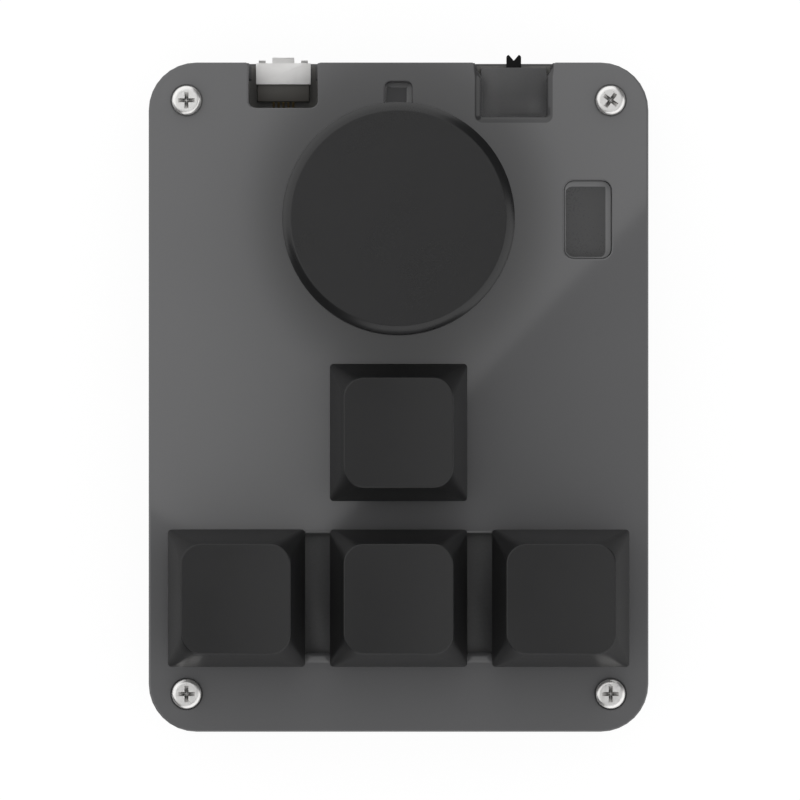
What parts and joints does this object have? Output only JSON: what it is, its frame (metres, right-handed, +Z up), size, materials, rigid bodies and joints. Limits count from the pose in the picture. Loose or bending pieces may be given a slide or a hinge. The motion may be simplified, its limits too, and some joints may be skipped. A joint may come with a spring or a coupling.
{
  "type": "macro keypad",
  "caption": "Small desk keypad: grey rounded case with a large push-and-turn knob, arrow keys in an inverted T, a micro USB receptacle and a slide switch at the rear.",
  "frame": {"origin": "middle of the case in X and Y, at the underside of the rubber feet", "axes": "+X to the user's right, +Y to the rear edge with the USB receptacle, +Z up"},
  "size_m": [0.066, 0.0895, 0.0343],
  "materials": {
    "case_shell": "moulded dark grey plastic, semi-gloss, fine grain",
    "keycap_plastic": "moulded near-black plastic, matt with a fine texture",
    "knob_anodised": "turned aluminium, bead blasted and black anodised",
    "screw_steel": "nickel-plated steel",
    "insert_brass": "turned brass",
    "foot_rubber": "black rubber",
    "plate_steel": "black powder-coated steel",
    "board_laminate": "black solder mask over glass laminate",
    "housing_plastic": "moulded black nylon",
    "stem_plastic": "moulded brown acetal",
    "spring_steel": "drawn steel wire and strip",
    "contact_gold": "gold-plated copper alloy",
    "encoder_steel": "plated steel",
    "rotor_plastic": "moulded pale acetal",
    "black_plastic": "moulded black nylon",
    "tinned_pins": "tin-plated",
    "usb_steel": "nickel-plated pressed steel",
    "blackened_steel": "blackened pressed steel",
    "led_lens": "clear yellowish resin",
    "smoked_window": "smoked acrylic",
    "chip_resin": "moulded epoxy",
    "small_parts": "ceramic chips with tinned ends",
    "battery_foil": "aluminium laminate pouch",
    "lead_insulation": "flexible insulation",
    "connector_nylon": "moulded natural nylon"
  },
  "bodies": {
    "root": {"top_cover": "case_shell", "bottom_case": "case_shell", "case_screws": "screw_steel", "threaded_inserts": "insert_brass", "rubber_feet": "foot_rubber", "switch_plate": "plate_steel", "main_board": "board_laminate", "switch_spring_up": "spring_steel", "switch_spring_left": "spring_steel", "switch_spring_down": "spring_steel", "switch_spring_right": "spring_steel", "switch_top_housing_up": "housing_plastic", "switch_top_housing_left": "housing_plastic", "switch_top_housing_down": "housing_plastic", "switch_top_housing_right": "housing_plastic", "switch_bottom_housing_up": "housing_plastic", "switch_bottom_housing_left": "housing_plastic", "switch_bottom_housing_down": "housing_plastic", "switch_bottom_housing_right": "housing_plastic", "switch_contacts_up": "contact_gold", "switch_contacts_left": "contact_gold", "switch_contacts_down": "contact_gold", "switch_contacts_right": "contact_gold", "encoder_push_dome": "spring_steel", "encoder_bushing": "encoder_steel", "encoder_nut": "encoder_steel", "encoder_washer": "encoder_steel", "encoder_housing": "encoder_steel", "encoder_base": "black_plastic", "encoder_pins": "tinned_pins", "usb_shell": "usb_steel", "usb_insulator": "black_plastic", "usb_contacts": "contact_gold", "slide_switch_body": "black_plastic", "slide_switch_frame": "blackened_steel", "slide_switch_pins": "tinned_pins", "tact_switch": "black_plastic", "status_led": "led_lens", "led_window": "smoked_window", "microcontroller": "chip_resin", "board_components": "small_parts", "battery_cell": "battery_foil", "battery_leads": "lead_insulation", "battery_plug": "connector_nylon", "battery_socket": "connector_nylon"},
    "key_up": {"keycap_up": "keycap_plastic", "switch_stem_up": "stem_plastic"},
    "key_left": {"keycap_left": "keycap_plastic", "switch_stem_left": "stem_plastic"},
    "key_down": {"keycap_down": "keycap_plastic", "switch_stem_down": "stem_plastic"},
    "key_right": {"keycap_right": "keycap_plastic", "switch_stem_right": "stem_plastic"},
    "knob_plunger": {"encoder_plunger": "black_plastic"},
    "knob": {"knob": "knob_anodised", "encoder_shaft": "encoder_steel"},
    "rotor": {"encoder_rotor": "rotor_plastic"},
    "slider": {"slide_switch_slider": "black_plastic"},
    "mode_button": {"mode_button_cap": "case_shell", "tact_plunger": "black_plastic"}
  },
  "joints": [
    {"name": "key_press_up", "type": "slide", "parent": "root", "child": "key_up", "axis": [0, 0, -1], "range_m": [0, 0.004], "stiffness_N_per_m": 60, "springref_m": -0.0065, "deforming": ["switch_spring_up"]},
    {"name": "key_press_left", "type": "slide", "parent": "root", "child": "key_left", "axis": [0, 0, -1], "range_m": [0, 0.004], "stiffness_N_per_m": 60, "springref_m": -0.0065, "deforming": ["switch_spring_left"]},
    {"name": "key_press_down", "type": "slide", "parent": "root", "child": "key_down", "axis": [0, 0, -1], "range_m": [0, 0.004], "stiffness_N_per_m": 60, "springref_m": -0.0065, "deforming": ["switch_spring_down"]},
    {"name": "key_press_right", "type": "slide", "parent": "root", "child": "key_right", "axis": [0, 0, -1], "range_m": [0, 0.004], "stiffness_N_per_m": 60, "springref_m": -0.0065, "deforming": ["switch_spring_right"]},
    {"name": "knob_push", "type": "slide", "parent": "root", "child": "knob_plunger", "axis": [0, 0, -1], "range_m": [0, 0.0005], "stiffness_N_per_m": 5000, "springref_m": -0.0005, "deforming": ["encoder_push_dome"]},
    {"name": "knob_turn", "type": "hinge", "parent": "knob_plunger", "child": "knob", "pos_m": [0, 0.02345, 0], "axis": [0, 0, 1], "continuous": true},
    {"name": "rotor_turn", "type": "hinge", "parent": "root", "child": "rotor", "pos_m": [0, 0.02345, 0], "axis": [0, 0, 1], "continuous": true},
    {"name": "slide_switch_move", "type": "slide", "parent": "root", "child": "slider", "axis": [1, 0, 0], "range_m": [-0.0015, 0.0015]},
    {"name": "mode_button_press", "type": "slide", "parent": "root", "child": "mode_button", "axis": [0, 0, -1], "range_m": [0, 0.0004], "stiffness_N_per_m": 2000, "springref_m": -0.0005}
  ],
  "couplings": [
    {"joint": "rotor_turn", "follows": "knob_turn", "ratio": 1}
  ]
}
